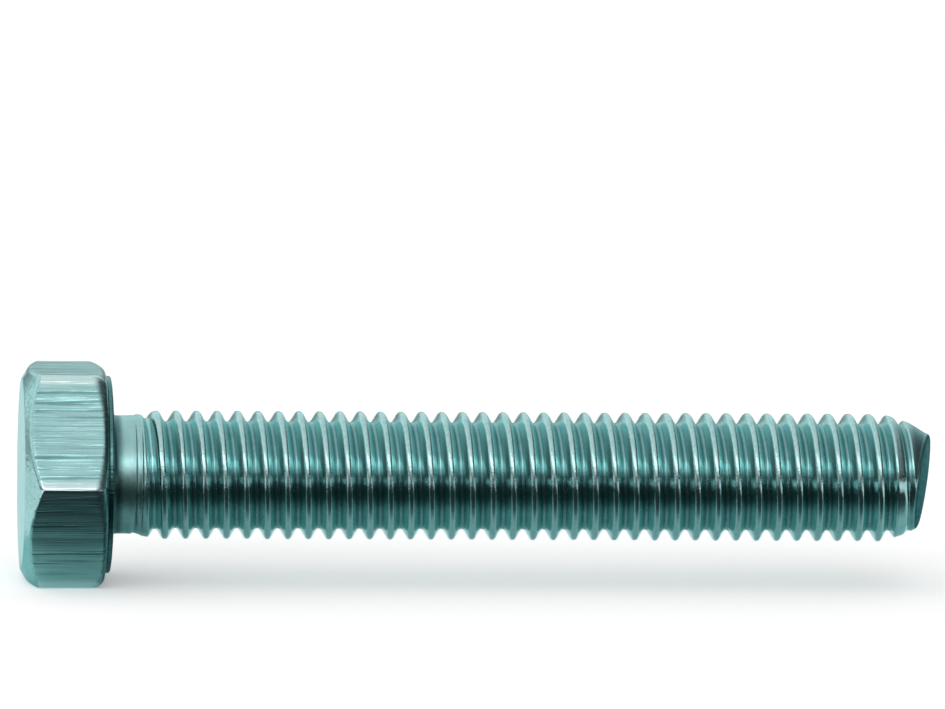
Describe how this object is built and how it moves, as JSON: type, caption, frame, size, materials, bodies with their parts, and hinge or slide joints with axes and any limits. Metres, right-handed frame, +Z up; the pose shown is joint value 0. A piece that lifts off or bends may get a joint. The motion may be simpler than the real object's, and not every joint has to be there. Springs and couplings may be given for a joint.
{
  "type": "hex bolt",
  "caption": "Zinc-plated steel hex head bolt with a washer face and a metric thread running up to the head, used to clamp parts through a clearance hole.",
  "frame": {"origin": "centre of the bearing face under the head, on the bolt's axis", "axes": "+X along the bolt from the head to the point; +Z up, normal to a flat of the hexagon; +Y through a corner of the hexagon"},
  "size_m": [0.056, 0.015, 0.013],
  "materials": {
    "zinc_plated_steel": "satin zinc plate on forged and rolled steel"
  },
  "bodies": {
    "root": {"hex_bolt": "zinc_plated_steel"}
  },
  "joints": []
}
